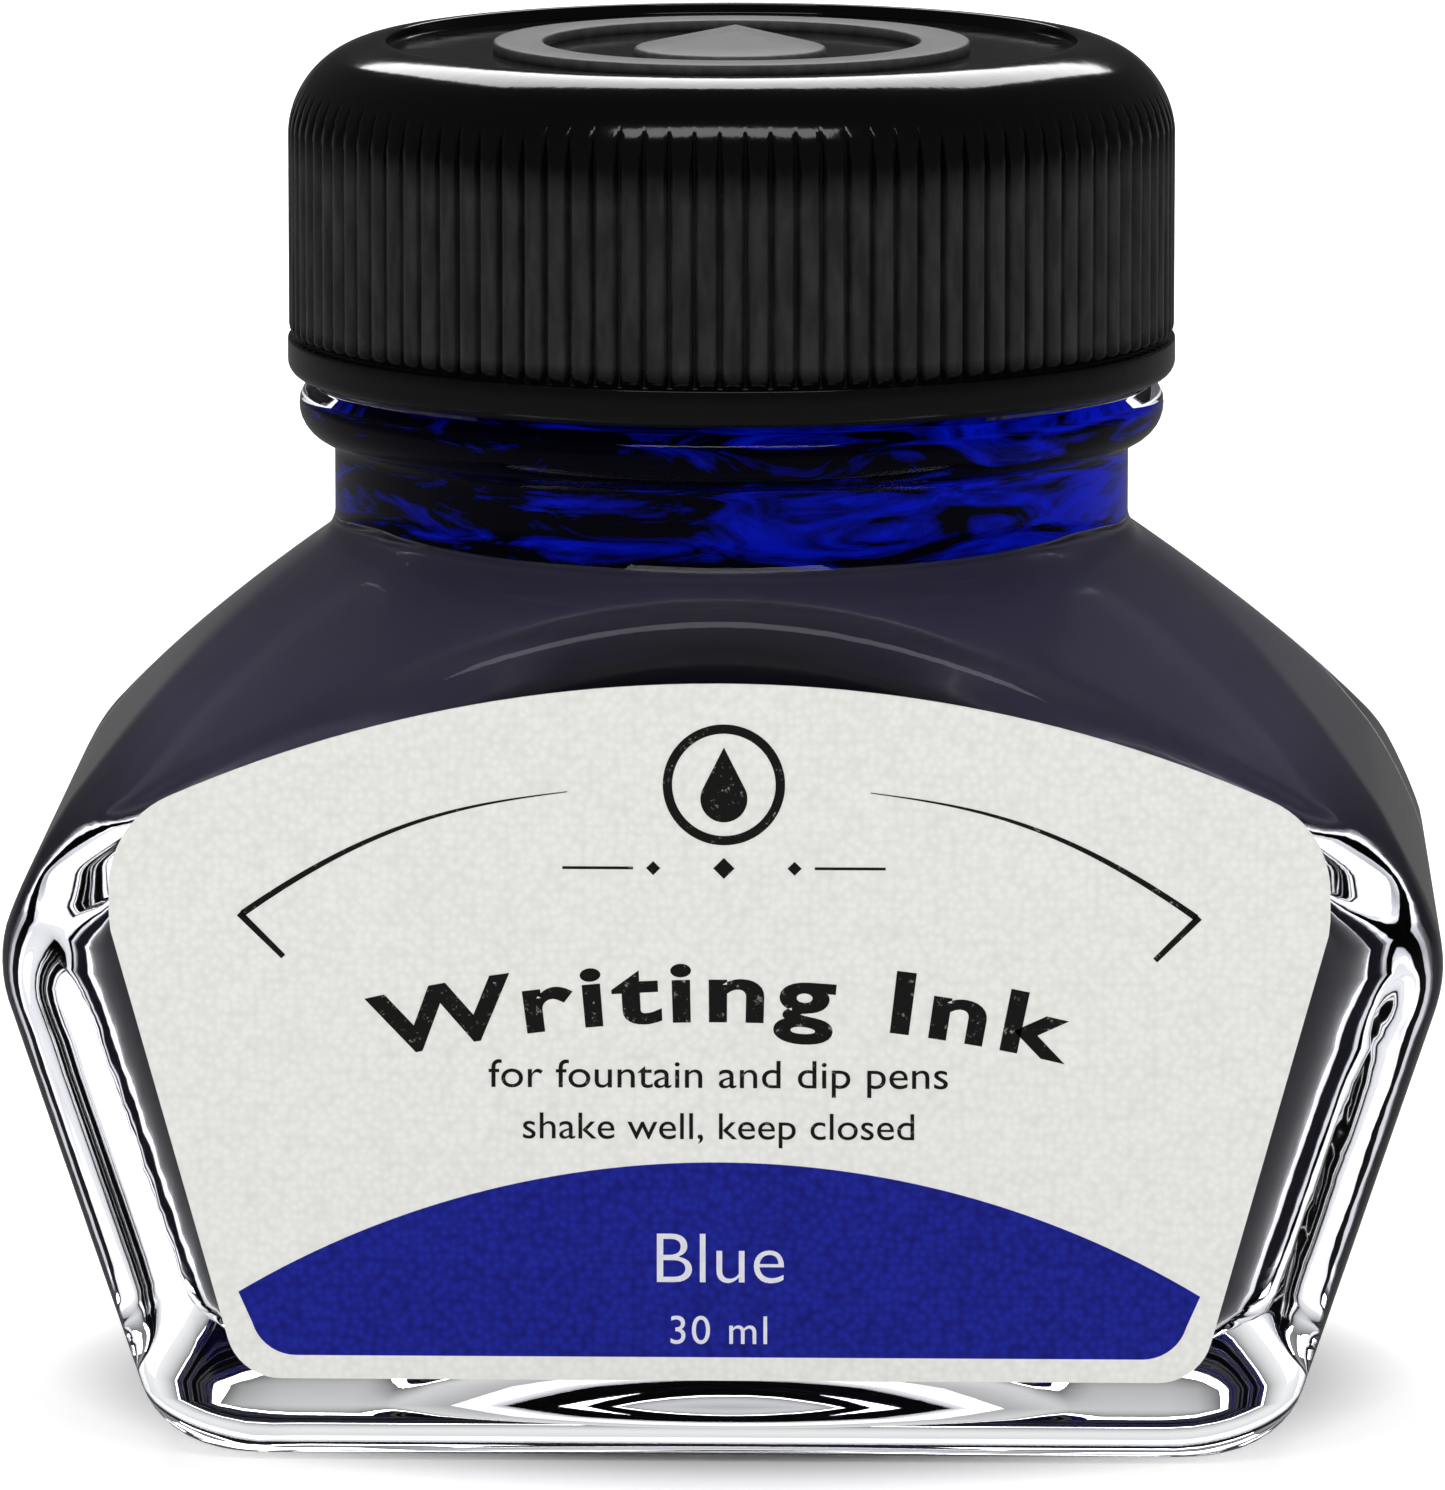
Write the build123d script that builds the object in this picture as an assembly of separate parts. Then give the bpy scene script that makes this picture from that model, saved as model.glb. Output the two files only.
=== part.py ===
from build123d import *
import math
import os

# Ink bottle of about 30 ml with a ribbed screw cap. Millimetres, +Z up, +Y to the back.
# The origin is the centre of the base, on the plane that the bottle stands on.

# Overall sizes of the glass body
body_width = 57.6           # widest, across the waist
body_depth = 38.1           # between the flat front and back faces
neck_foot_z = 35.8          # where the conical shoulder meets the neck
neck_radius = 16.2

# Outer shape of the body
waist_z = 19.7              # height of the widest point
waist_radius = 5.6          # roundness of the waist, seen from the front
side_lean = 18.5            # degrees, the sides lean in towards the base
hip_lean = 18.0             # degrees, the sides lean in above the waist
hip_z = 23.8                # where the sides turn into the side shoulders
shoulder_angle = 35.0       # degrees, slope of the conical shoulder
side_shoulder_sink = 0.6    # how far the side shoulders meet the neck below its foot
side_shoulder_bulge = 0.65  # the side shoulders are slightly domed by this much
corner_radius = 4.2         # the four upright corners
heel_radius = 2.4           # the edge that the bottle stands on
crease_radius = 1.5         # edges between the shoulder's faces
neck_foot_radius = 1.5
punt_radius = 14.0          # dome pressed up into the base
punt_height = 1.5

# Glass thickness
side_wall = 3.4
face_wall = 5.2
base_wall = 3.8
shoulder_wall = 4.0
chamber_waist_radius = 4.5
chamber_corner_radius = 3.0
chamber_floor_radius = 2.2
chamber_crease_radius = 0.8
bore_radius = 12.0          # mouth of the bottle

# Transfer bead and threaded finish of the neck
bead_radius = 17.64
bead_bottom_z = 38.9
bead_height = 2.4
bead_top_slope = 0.5        # the bead draws in towards its top by this much
finish_radius = 14.8        # root of the glass thread
finish_height = 10.5        # from the bead to the sealing land
land_rounding = 0.7
thread_pitch = 4.23
thread_turns = 1.25
thread_height = 1.2
thread_root_width = 1.9
thread_crest_width = 0.9
thread_start_above_bead = 2.45
thread_sink = 0.5           # how deep a thread ridge runs into the wall that carries it

# Screw cap
cap_radius = 18.05          # over the rib tips
cap_rim_radius = 18.1       # plain rim below the ribs
cap_groove_depth = 0.42
cap_rim_height = 1.55
cap_rim_rounding = 0.6
cap_dome_radius = 3.9       # rounding of the top edge, into which the ribs fade
cap_top_thickness = 1.7
cap_recess_radius = 14.05
cap_recess_depth = 0.45
rib_count = 110
rib_share = 0.8             # part of the pitch that the rib takes
rib_skin = 0.01             # the envelope clears the straight rib tips by this much
cap_thread_start = 90       # degrees, where the cap's own thread begins

# Sealing wad, badge, label and ink
liner_thickness = 1.2
liner_overhang = 0.1        # the wad reaches past the threaded finish by this much
badge_radius = 9.7
badge_band = 2.05
badge_gap = 1.35            # between the badge's ring and its middle
badge_thickness = 0.4
badge_drop_share = 0.62     # the drop's round end, as a share of the room inside the ring
label_half_width = 24.2
label_bottom_z = 3.5
label_side_lean = 15.3      # degrees
label_waist_z = 22.0
label_peak_z = 31.6
label_arch_radius = 54.0
label_corner_radius = 2.2
label_shoulder_radius = 4.0
label_thickness = 0.12
ink_level_z = 34.0

# Clearances
thread_radial_gap = 0.25    # crest of one thread to the root of the other
thread_flank_gap = 0.15
bead_to_rim_gap = 0.25
ink_gap = 0.02              # ink to glass, all round

# Heights and fits that follow
bead_top_z = bead_bottom_z + bead_height
mouth_z = bead_top_z + finish_height
cap_rim_z = bead_top_z + bead_to_rim_gap
cap_ceiling_z = mouth_z + liner_thickness
cap_top_z = cap_ceiling_z + cap_top_thickness + cap_recess_depth
cap_bore_radius = finish_radius + thread_height + thread_radial_gap
liner_radius = finish_radius + liner_overhang
lip_rounding = min(land_rounding, 0.45 * (finish_radius - bore_radius))  # within the mouth's wall
rib_bottom_z = cap_rim_z + cap_rim_height
cap_groove_radius = cap_radius - cap_groove_depth
cone_slope = math.tan(math.radians(shoulder_angle))


def ring(points):
    """Solid of revolution about Z from (radius, height) points."""
    outline = Polyline(*[(r, 0, z) for r, z in points], close=True)
    return revolve(make_face(outline), Axis.Z)


def leaning_prism(half_width, half_depth, floor_z, round_waist, round_corner):
    """Upright block with flat front and back, rounded corners and leaning sides."""
    low, high = math.radians(side_lean), math.radians(hip_lean)
    centre_x = half_width - round_waist
    lower = (centre_x + round_waist * math.cos(low), waist_z - round_waist * math.sin(low))
    upper = (centre_x + round_waist * math.cos(high), waist_z + round_waist * math.sin(high))
    top_z = neck_foot_z + cone_slope * neck_radius
    foot = (lower[0] - (lower[1] - floor_z) * math.tan(low), floor_z)
    head = (upper[0] - (top_z - upper[1]) * math.tan(high), top_z)

    def at(point, side):
        return (side * point[0], 0, point[1])

    outline = [Line(at(foot, -1), at(foot, 1)), Line(at(head, 1), at(head, -1))]
    for side in (1, -1):
        outline += [
            Line(at(foot, side), at(lower, side)),
            ThreePointArc(at(lower, side), at((half_width, waist_z), side), at(upper, side)),
            Line(at(upper, side), at(head, side)),
        ]
    block = extrude(make_face(outline), half_depth, both=True)
    upright = [
        edge
        for edge in block.edges()
        if abs(abs((edge @ 0.5).Y) - half_depth) < 1e-3 and floor_z + 0.1 < (edge @ 0.5).Z < top_z - 0.1
    ]
    return fillet(upright, round_corner)


def hip_half_width():
    """Half width of the body at the hips, on its upper leaning side."""
    high = math.radians(hip_lean)
    inward = waist_radius * (1 - math.cos(high))
    inward += (hip_z - waist_z - waist_radius * math.sin(high)) * math.tan(high)
    return body_width / 2 - inward


def shoulder_form(wall):
    """Cone and domed gable that cut the shoulder, moved in by the wall's thickness."""
    reach = body_width
    cone_peak = neck_foot_z + cone_slope * neck_radius - wall * math.hypot(1, cone_slope)
    cone = ring([(0, -reach), (reach, -reach), (reach, cone_peak - cone_slope * reach), (0, cone_peak)])
    hip = Vector(hip_half_width(), 0, hip_z)
    top = Vector(neck_radius, 0, neck_foot_z - side_shoulder_sink)
    along = (top - hip).normalized()
    outward = Vector(along.Z, 0, -along.X)
    arc = ThreePointArc(hip, (hip + top) * 0.5 + outward * side_shoulder_bulge, top)
    centre, radius = arc.arc_center, arc.radius - wall
    steep = math.acos(-centre.X / radius)
    gable = [Line((-centre.X - radius, 0, centre.Z), (centre.X + radius, 0, centre.Z))]
    for side in (1, -1):
        points = [
            (side * (centre.X + radius * math.cos(angle)), 0, centre.Z + radius * math.sin(angle))
            for angle in (0, steep / 2, steep)
        ]
        gable.append(ThreePointArc(*points))
    return cone & extrude(make_face(gable), reach, both=True)


def moulded_body(wall, floor_z, half_width, half_depth, rounds):
    """The body's form, used for the outside, for the chamber and for the ink."""
    round_waist, round_corner, round_floor, round_crease = rounds
    form = leaning_prism(half_width, half_depth, floor_z, round_waist, round_corner)
    form = form & shoulder_form(wall)
    form = fillet(form.faces().sort_by(Axis.Z)[0].edges(), round_floor)
    above_waist_z = waist_z + waist_radius / 3
    creases = [edge for edge in form.edges() if edge.center().Z > above_waist_z]
    return fillet(creases, round_crease)


def outer_body():
    rounds = (waist_radius, corner_radius, heel_radius, crease_radius)
    return moulded_body(0, 0, body_width / 2, body_depth / 2, rounds)


def chamber(gap=0.0):
    """Inside of the bottle below the neck; the gap makes it smaller all round."""
    rounds = (chamber_waist_radius, chamber_corner_radius, chamber_floor_radius, chamber_crease_radius)
    half_width = body_width / 2 - side_wall - gap
    half_depth = body_depth / 2 - face_wall - gap
    return moulded_body(shoulder_wall + gap, base_wall + gap, half_width, half_depth, rounds)


def upright_cylinder(radius, low_z, high_z):
    return Pos(0, 0, low_z) * Cylinder(radius, high_z - low_z, align=(Align.CENTER, Align.CENTER, Align.MIN))


def thread_ridge(root_radius, outward, start_z, start_angle):
    """Right-hand ridge with a trapezoid section, rising from start_z at start_angle."""
    turn_height = thread_pitch * thread_turns
    path = Helix(thread_pitch, turn_height, root_radius)
    half_root, half_crest = thread_root_width / 2, thread_crest_width / 2
    flank = (half_root - half_crest) / thread_height
    deep = half_root + flank * thread_sink
    crest = outward * thread_height
    sunk = -outward * thread_sink
    section = Polyline((sunk, -deep), (crest, -half_crest), (crest, half_crest), (sunk, deep), close=True)
    start = Plane(origin=path @ 0, x_dir=(1, 0, 0), z_dir=path % 0)
    ridge = sweep(start * make_face(section), path=path, is_frenet=True)
    return Pos(0, 0, start_z) * Rot(0, 0, start_angle) * ridge


def glass_bottle():
    neck = upright_cylinder(neck_radius, waist_z, bead_bottom_z + bead_height / 2)
    glass = outer_body() + neck
    foot = [
        edge
        for edge in glass.edges()
        if abs(math.hypot((edge @ 0.5).X, (edge @ 0.5).Y) - neck_radius) < 0.05
        and hip_z < (edge @ 0.5).Z < neck_foot_z + 1
    ]
    glass = fillet(foot, neck_foot_radius)

    bead_side = (bead_radius, 0, bead_bottom_z + bead_radius - neck_radius)
    bead_shoulder = (bead_radius - bead_top_slope, 0, bead_top_z)
    bead_edge = [
        Line((0, 0, bead_bottom_z), (neck_radius, 0, bead_bottom_z)),
        TangentArc((neck_radius, 0, bead_bottom_z), bead_side, tangent=(1, 0, 0)),
        TangentArc(bead_side, bead_shoulder, tangent=(0, 0, 1)),
        Line(bead_shoulder, (0, 0, bead_top_z)),
        Line((0, 0, bead_top_z), (0, 0, bead_bottom_z)),
    ]
    glass += revolve(make_face(bead_edge), Axis.Z)
    finish = upright_cylinder(finish_radius, bead_bottom_z, mouth_z)
    finish = fillet(finish.edges().sort_by(Axis.Z)[-1], lip_rounding)
    glass += finish
    glass += thread_ridge(finish_radius, 1, bead_top_z + thread_start_above_bead, 0)

    glass -= chamber()
    glass -= upright_cylinder(bore_radius, waist_z, mouth_z + 1)
    lip = [
        edge
        for edge in glass.edges().filter_by(GeomType.CIRCLE)
        if abs(edge.radius - bore_radius) < 1e-3 and abs(edge.center().Z - mouth_z) < 1e-3
    ]
    glass = fillet(lip, lip_rounding)
    punt_sphere = (punt_radius**2 + punt_height**2) / (2 * punt_height)
    return glass - Pos(0, 0, punt_height - punt_sphere) * Sphere(punt_sphere)


def ink():
    liquid = chamber(ink_gap) + upright_cylinder(bore_radius - ink_gap, waist_z, mouth_z)
    return split(liquid, Plane.XY.offset(ink_level_z), keep=Keep.BOTTOM)


def front_label():
    """Arched paper on the front face: leaning sides, round corners, a low arch on top."""
    lean = math.tan(math.radians(label_side_lean))
    foot_x = label_half_width - (label_waist_z - label_bottom_z) * lean
    arch_centre_z = label_peak_z - label_arch_radius
    side_top_z = arch_centre_z + math.sqrt(label_arch_radius**2 - label_half_width**2)
    outline = [
        Line((-foot_x, 0, label_bottom_z), (foot_x, 0, label_bottom_z)),
        Line((foot_x, 0, label_bottom_z), (label_half_width, 0, label_waist_z)),
        Line((label_half_width, 0, label_waist_z), (label_half_width, 0, side_top_z)),
        ThreePointArc(
            (label_half_width, 0, side_top_z), (0, 0, label_peak_z), (-label_half_width, 0, side_top_z)
        ),
        Line((-label_half_width, 0, side_top_z), (-label_half_width, 0, label_waist_z)),
        Line((-label_half_width, 0, label_waist_z), (-foot_x, 0, label_bottom_z)),
    ]
    face = make_face(outline)
    low = [v for v in face.vertices() if abs(v.Z - label_bottom_z) < 1e-3]
    face = fillet(low, label_corner_radius)
    high = [v for v in face.vertices() if abs(v.Z - side_top_z) < 1e-3]
    face = fillet(high, label_shoulder_radius)
    return Pos(0, -body_depth / 2, 0) * extrude(face, label_thickness, dir=(0, -1, 0))


def grip_ribs():
    """Ring of rounded ribs with narrow grooves between them."""
    pitch = math.radians(360 / rib_count)
    half_rib = pitch * rib_share / 2

    def at(radius, angle):
        return (radius * math.cos(angle), radius * math.sin(angle))

    edges = []
    for i in range(rib_count):
        middle = i * pitch
        low, high = at(cap_groove_radius, middle - half_rib), at(cap_groove_radius, middle + half_rib)
        edges.append(ThreePointArc(low, at(cap_radius, middle), high))
        edges.append(Line(high, at(cap_groove_radius, middle + pitch - half_rib)))
    outline = make_face(edges)
    return Pos(0, 0, rib_bottom_z) * extrude(outline, cap_top_z - rib_bottom_z)


def domed_disc():
    """The cap's outer envelope: a disc with a rounded top edge."""
    disc = upright_cylinder(cap_radius + rib_skin, rib_bottom_z, cap_top_z)
    return fillet(disc.edges().sort_by(Axis.Z)[-1], cap_dome_radius)


def cap_shell():
    shell = grip_ribs() & domed_disc()
    rim = upright_cylinder(cap_rim_radius, cap_rim_z, rib_bottom_z)
    shell += fillet(rim.edges().sort_by(Axis.Z)[0], cap_rim_rounding)
    shell -= upright_cylinder(cap_bore_radius, cap_rim_z - 1, cap_ceiling_z)
    shell -= upright_cylinder(cap_recess_radius, cap_top_z - cap_recess_depth, cap_top_z + 1)
    half_widths = (thread_root_width + thread_crest_width) / 2
    start_z = bead_top_z + thread_start_above_bead - half_widths - thread_flank_gap
    start_z += thread_pitch * cap_thread_start / 360
    return shell + thread_ridge(cap_bore_radius, -1, start_z, cap_thread_start)


def cap_liner():
    return upright_cylinder(liner_radius, mouth_z, cap_ceiling_z)


def cap_emblem():
    """Raised badge: a flat ring round a solid ink drop."""
    low_z = cap_top_z - cap_recess_depth
    band = upright_cylinder(badge_radius, low_z, low_z + badge_thickness)
    band -= upright_cylinder(badge_radius - badge_band, low_z - 1, low_z + 1 + badge_thickness)
    middle = badge_radius - badge_band - badge_gap
    bulb = middle * badge_drop_share
    tip_y, bulb_y = middle, bulb - middle
    angle = math.acos(bulb / (tip_y - bulb_y))
    side = (bulb * math.sin(angle), bulb_y + bulb * math.cos(angle))
    drop = make_face([
        Line((side[0], side[1]), (0, tip_y)), Line((0, tip_y), (-side[0], side[1])),
        ThreePointArc((-side[0], side[1]), (0, bulb_y - bulb), (side[0], side[1])),
    ])
    return band + Pos(0, 0, low_z) * extrude(drop, badge_thickness)


nodes = {
    "glass_bottle": glass_bottle,
    "ink": ink,
    "front_label": front_label,
    "cap_shell": cap_shell,
    "cap_liner": cap_liner,
    "cap_emblem": cap_emblem,
}

os.makedirs("parts", exist_ok=True)
for name, make in nodes.items():
    solid = make()
    export_step(solid, f"parts/{name}.step")
    print(name, "solids", len(solid.solids()), "volume", round(solid.volume / 1000, 2), "ml")
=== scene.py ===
import math

import bmesh
import bpy
import numpy as np
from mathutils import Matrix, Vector


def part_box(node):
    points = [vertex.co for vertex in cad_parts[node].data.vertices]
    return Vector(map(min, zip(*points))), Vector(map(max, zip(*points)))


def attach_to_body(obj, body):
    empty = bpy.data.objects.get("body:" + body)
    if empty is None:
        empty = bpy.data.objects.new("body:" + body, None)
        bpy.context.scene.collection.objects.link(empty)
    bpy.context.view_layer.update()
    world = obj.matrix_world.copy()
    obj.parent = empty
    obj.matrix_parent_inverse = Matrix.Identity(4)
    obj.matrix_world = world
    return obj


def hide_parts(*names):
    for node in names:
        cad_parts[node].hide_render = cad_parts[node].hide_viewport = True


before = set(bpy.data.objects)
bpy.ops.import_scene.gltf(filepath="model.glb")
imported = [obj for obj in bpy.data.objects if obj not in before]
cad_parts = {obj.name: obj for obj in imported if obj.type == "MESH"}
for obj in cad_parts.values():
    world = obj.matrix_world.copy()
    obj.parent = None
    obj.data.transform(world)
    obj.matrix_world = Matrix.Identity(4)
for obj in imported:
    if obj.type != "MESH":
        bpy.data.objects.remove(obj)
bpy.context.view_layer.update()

bpy.ops.object.select_all(action="DESELECT")

# A small square-shouldered ink bottle of thick clear glass with a ribbed screw cap. Shapes are
# worked out in millimetres, +Z up, with the label facing -Y, and turned into metres as meshes.
mm = 0.001


# ---------------------------------------------------------------- sizes taken from the solid parts

def box_mm(node):
    low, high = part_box(node)
    return [v / mm for v in low], [v / mm for v in high]


glass_low, glass_high = box_mm("glass_bottle")
cap_low, cap_high = box_mm("cap_shell")
wad_low, wad_high = box_mm("cap_liner")
badge_low, badge_high = box_mm("cap_emblem")
paper_low, paper_high = box_mm("front_label")
ink_low, ink_high = box_mm("ink")

half_width, half_depth = glass_high[0], glass_high[1]
mouth_z = glass_high[2]
cap_rim_z, cap_top_z = cap_low[2], cap_high[2]
ceiling_z = wad_high[2]
ink_level = ink_high[2]

# Body of the glass
neck_radius, neck_foot_z = 16.2, 35.8
waist_z, waist_round = 19.7, 5.6
low_lean, high_lean = math.radians(18.5), math.radians(18.0)
cone_slope = math.tan(math.radians(35.0))
gable_centre, gable_radius = (-13.381, -6.343), 50.998
corner_round, heel_round, crease_round = 4.2, 2.4, 0.9
punt_radius, punt_height = 14.0, 1.5
# Inside of the glass
side_wall, face_wall, base_wall, shoulder_wall = 3.4, 5.2, 3.8, 4.0
inner_waist_round, inner_corner_round, inner_floor_round, inner_crease = 4.5, 3.0, 2.2, 0.6
bore_radius = 12.0
# Ink: it runs a little into the glass, and a thin film of it stays in the neck
ink_overlap = 0.03
film_thickness, film_top_z = 0.06, 44.0
# Neck finish
bead_radius, bead_low_z, bead_top_z = 17.64, 38.9, 41.3
bead_top_radius = bead_radius - 0.5
finish_radius, land_round = 14.8, 0.7
thread_pitch, thread_turns, thread_height = 4.23, 1.25, 1.2
thread_start_z = bead_top_z + 2.45
thread_half_root, thread_half_crest = 0.95, 0.45
thread_run_out = 0.35  # radians
flank_gap = 0.15
# Cap
rib_count, rib_share = 110, 0.8
rib_tip, rib_root, rim_radius = 18.05, 17.63, 18.1
rib_low_z = cap_rim_z + 1.55
dome_round = 3.9
recess_radius, recess_depth = 14.05, 0.45
cap_bore = 16.25
badge_radius, badge_band, badge_gap = badge_high[0], 2.05, 1.35


# ------------------------------------------------------------------------------- mesh by mm helpers

def new_piece(name, verts, faces, smooth=True):
    """A mesh piece from points in millimetres, with its faces turned outward."""
    mesh = bpy.data.meshes.new(name)
    mesh.from_pydata([(x * mm, y * mm, z * mm) for x, y, z in verts], [], faces)
    mesh.validate()
    shape = bmesh.new()
    shape.from_mesh(mesh)
    bmesh.ops.recalc_face_normals(shape, faces=shape.faces)
    shape.to_mesh(mesh)
    shape.free()
    piece = bpy.data.objects.new(name, mesh)
    bpy.context.scene.collection.objects.link(piece)
    if smooth:
        mesh.polygons.foreach_set("use_smooth", [True] * len(mesh.polygons))
    return piece


def skin(name, rings, closed_loop=False):
    """Skin over rings of equal point counts. The ends close to a point, or the last ring meets the first."""
    count = len(rings[0])
    verts = np.concatenate(rings)
    faces = []
    last = len(rings) if closed_loop else len(rings) - 1
    for i in range(last):
        a, b = i * count, ((i + 1) % len(rings)) * count
        for j in range(count):
            k = (j + 1) % count
            faces.append((a + j, a + k, b + k, b + j))
    verts = verts.tolist()
    if not closed_loop:
        for ring, flip in ((0, True), (len(rings) - 1, False)):
            centre = np.mean(rings[ring], axis=0).tolist()
            verts.append(centre)
            hub = len(verts) - 1
            for j in range(count):
                k = (j + 1) % count
                a, b = ring * count + j, ring * count + k
                faces.append((hub, b, a) if flip else (hub, a, b))
    return new_piece(name, verts, faces)


def round_ring(radius, z, angles):
    radius = np.broadcast_to(radius, angles.shape)
    z = np.broadcast_to(z, angles.shape)
    return np.stack([radius * np.cos(angles), radius * np.sin(angles), z], axis=1)


def turned(name, profile, count=192, closed_loop=False):
    """A turned piece from (radius, height) points."""
    angles = np.linspace(0, 2 * math.pi, count, endpoint=False)
    return skin(name, [round_ring(r, z, angles) for r, z in profile], closed_loop)


def arc_points(centre, radius, start, end, steps):
    """(r, z) points along an arc, angles in degrees."""
    return [
        (centre[0] + radius * math.cos(math.radians(a)), centre[1] + radius * math.sin(math.radians(a)))
        for a in np.linspace(start, end, steps)
    ]


# ------------------------------------------------------------------------------------ shader helper

class Link:
    """A socket with arithmetic: sums and products of links add Math nodes."""

    def __init__(self, tree, socket):
        self.tree, self.socket = tree, socket

    def maths(self, operation, other=None, swap=False):
        node = self.tree.nodes.new("ShaderNodeMath")
        node.operation = operation
        values = [self] if other is None else ([other, self] if swap else [self, other])
        for slot, value in zip(node.inputs, values):
            attach(self.tree, value, slot)
        return Link(self.tree, node.outputs[0])

    def __add__(self, other):
        return self.maths("ADD", other)

    def __sub__(self, other):
        return self.maths("SUBTRACT", other)

    def __rsub__(self, other):
        return self.maths("SUBTRACT", other, swap=True)

    def __mul__(self, other):
        return self.maths("MULTIPLY", other)

    __radd__ = __add__
    __rmul__ = __mul__


def attach(tree, value, slot):
    if isinstance(value, Link):
        tree.links.new(value.socket, slot)
    else:
        slot.default_value = value


class Finish:
    """A material with one Principled node, and one method that adds any other node."""

    def __init__(self, name, **constants):
        self.material = bpy.data.materials.new(name)
        self.material.use_nodes = True
        self.tree = self.material.node_tree
        self.shader = self.tree.nodes["Principled BSDF"]
        self.output = self.tree.nodes["Material Output"]
        for key, value in constants.items():
            self.shader.inputs[key.replace("_", " ")].default_value = value

    def node(self, kind, settings=None, sockets=None, out=0):
        node = self.tree.nodes.new(kind)
        for key, value in (settings or {}).items():
            setattr(node, key, value)
        for key, value in (sockets or {}).items():
            attach(self.tree, value, node.inputs[key])
        return Link(self.tree, node.outputs[out])

    def place(self):
        """The piece's own coordinates, in metres."""
        return self.node("ShaderNodeTexCoord", out="Object")

    def axis(self, vector, letter):
        return self.node("ShaderNodeSeparateXYZ", None, {0: vector}, out=letter)

    def noise(self, scale, detail=3.0, roughness=0.5, stretch=None, distortion=0.0):
        where = self.place()
        if stretch:
            where = self.node("ShaderNodeVectorMath", {"operation": "MULTIPLY"}, {0: where, 1: stretch})
        return self.node(
            "ShaderNodeTexNoise", None,
            {"Vector": where, "Scale": scale, "Detail": detail, "Roughness": roughness,
             "Distortion": distortion},
        )

    def blend(self, factor, first, second):
        return self.node(
            "ShaderNodeMix", {"data_type": "RGBA"}, {0: factor, 6: first, 7: second}, out=2)

    def ramp(self, factor, low, high):
        """0 below low, 1 above high, straight between."""
        return self.node("ShaderNodeMapRange", {"clamp": True}, {0: factor, 1: low, 2: high, 3: 0.0, 4: 1.0})

    def feed(self, **links):
        for key, value in links.items():
            attach(self.tree, value, self.shader.inputs[key.replace("_", " ")])

    def bump(self, height, strength, distance):
        self.feed(Normal=self.node(
            "ShaderNodeBump", None, {"Strength": strength, "Distance": distance, "Height": height}))


def colour(r, g, b):
    """A colour given as 0..255 display values, in linear light."""
    def lin(v):
        v /= 255
        return v / 12.92 if v <= 0.04045 else ((v + 0.055) / 1.055) ** 2.4
    return (lin(r), lin(g), lin(b), 1.0)


# ---------------------------------------------------------------------------------------- the glass

def rounded(a, b, k):
    """Meeting of two surfaces with a rounded edge of about radius k."""
    both = np.minimum(a, b) > -k
    return np.where(both, np.hypot(np.maximum(a + k, 0), np.maximum(b + k, 0)) - k, np.maximum(a, b))


def side_profile(z, half, waist):
    """Half width of the leaning sides at height z."""
    centre = half - waist
    low_z, high_z = waist_z - waist * math.sin(low_lean), waist_z + waist * math.sin(high_lean)
    arc = centre + np.sqrt(np.maximum(waist**2 - (np.clip(z, low_z, high_z) - waist_z) ** 2, 0))
    low = centre + waist * math.cos(low_lean) - (low_z - z) * math.tan(low_lean)
    high = centre + waist * math.cos(high_lean) - (z - high_z) * math.tan(high_lean)
    return np.where(z < low_z, low, np.where(z > high_z, high, arc))


def body_field(x, y, z, wall, half, depth, waist, corner, floor_z, heel, crease, neck):
    """Negative inside the moulded body with its neck, zero on the surface."""
    ax, ay = np.abs(x), np.abs(y)
    r = np.hypot(x, y)
    walls = rounded((ax - side_profile(z, half, waist)) * math.cos(low_lean), ay - depth, corner)
    cone = ((r - neck_radius) * cone_slope + z - neck_foot_z) / math.hypot(1, cone_slope) + wall
    gable = np.hypot(ax - gable_centre[0], z - gable_centre[1]) - gable_radius + wall
    body = rounded(walls, rounded(cone, gable, crease), crease)
    body = rounded(body, floor_z - z, heel)
    return -rounded(-body, -np.maximum(r - neck, waist_z - z), crease)


def outline_radii(z, angles, **form):
    low, high = np.zeros_like(angles), np.full_like(angles, 45.0)
    for _ in range(34):
        middle = (low + high) / 2
        inside = body_field(middle * np.cos(angles), middle * np.sin(angles), z, **form) < 0
        low, high = np.where(inside, middle, low), np.where(inside, high, middle)
    return (low + high) / 2


def corner_angles(count, at_degrees):
    """Angles round the bottle, closer together near the four upright corners."""
    fine = np.linspace(0, 2 * math.pi, 7201)
    folded = np.abs((np.degrees(fine) + 90) % 180 - 90)
    weight = 1 + 2.6 * np.exp(-((folded - at_degrees) / 8.0) ** 2)
    total = np.concatenate([[0], np.cumsum((weight[1:] + weight[:-1]) / 2)])
    return np.interp(np.arange(count) / count * total[-1], total, fine)


outside = dict(wall=0.0, half=half_width, depth=half_depth, waist=waist_round, corner=corner_round,
               floor_z=0.0, heel=heel_round, crease=crease_round, neck=neck_radius)


def inside(grow=0.0):
    """The hollow, let out by grow all round."""
    return dict(
        wall=shoulder_wall - grow, half=half_width - side_wall + grow, depth=half_depth - face_wall + grow,
        waist=inner_waist_round, corner=inner_corner_round, floor_z=base_wall - grow,
        heel=inner_floor_round, crease=inner_crease, neck=bore_radius + grow)


def spaced(*runs):
    """Heights from (start, end, step) runs, without repeats."""
    out = []
    for start, end, step in runs:
        out += list(np.linspace(start, end, max(2, int(round(abs(end - start) / step)) + 1)))
    return [z for i, z in enumerate(out) if i == 0 or abs(z - out[i - 1]) > 1e-6]


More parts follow.
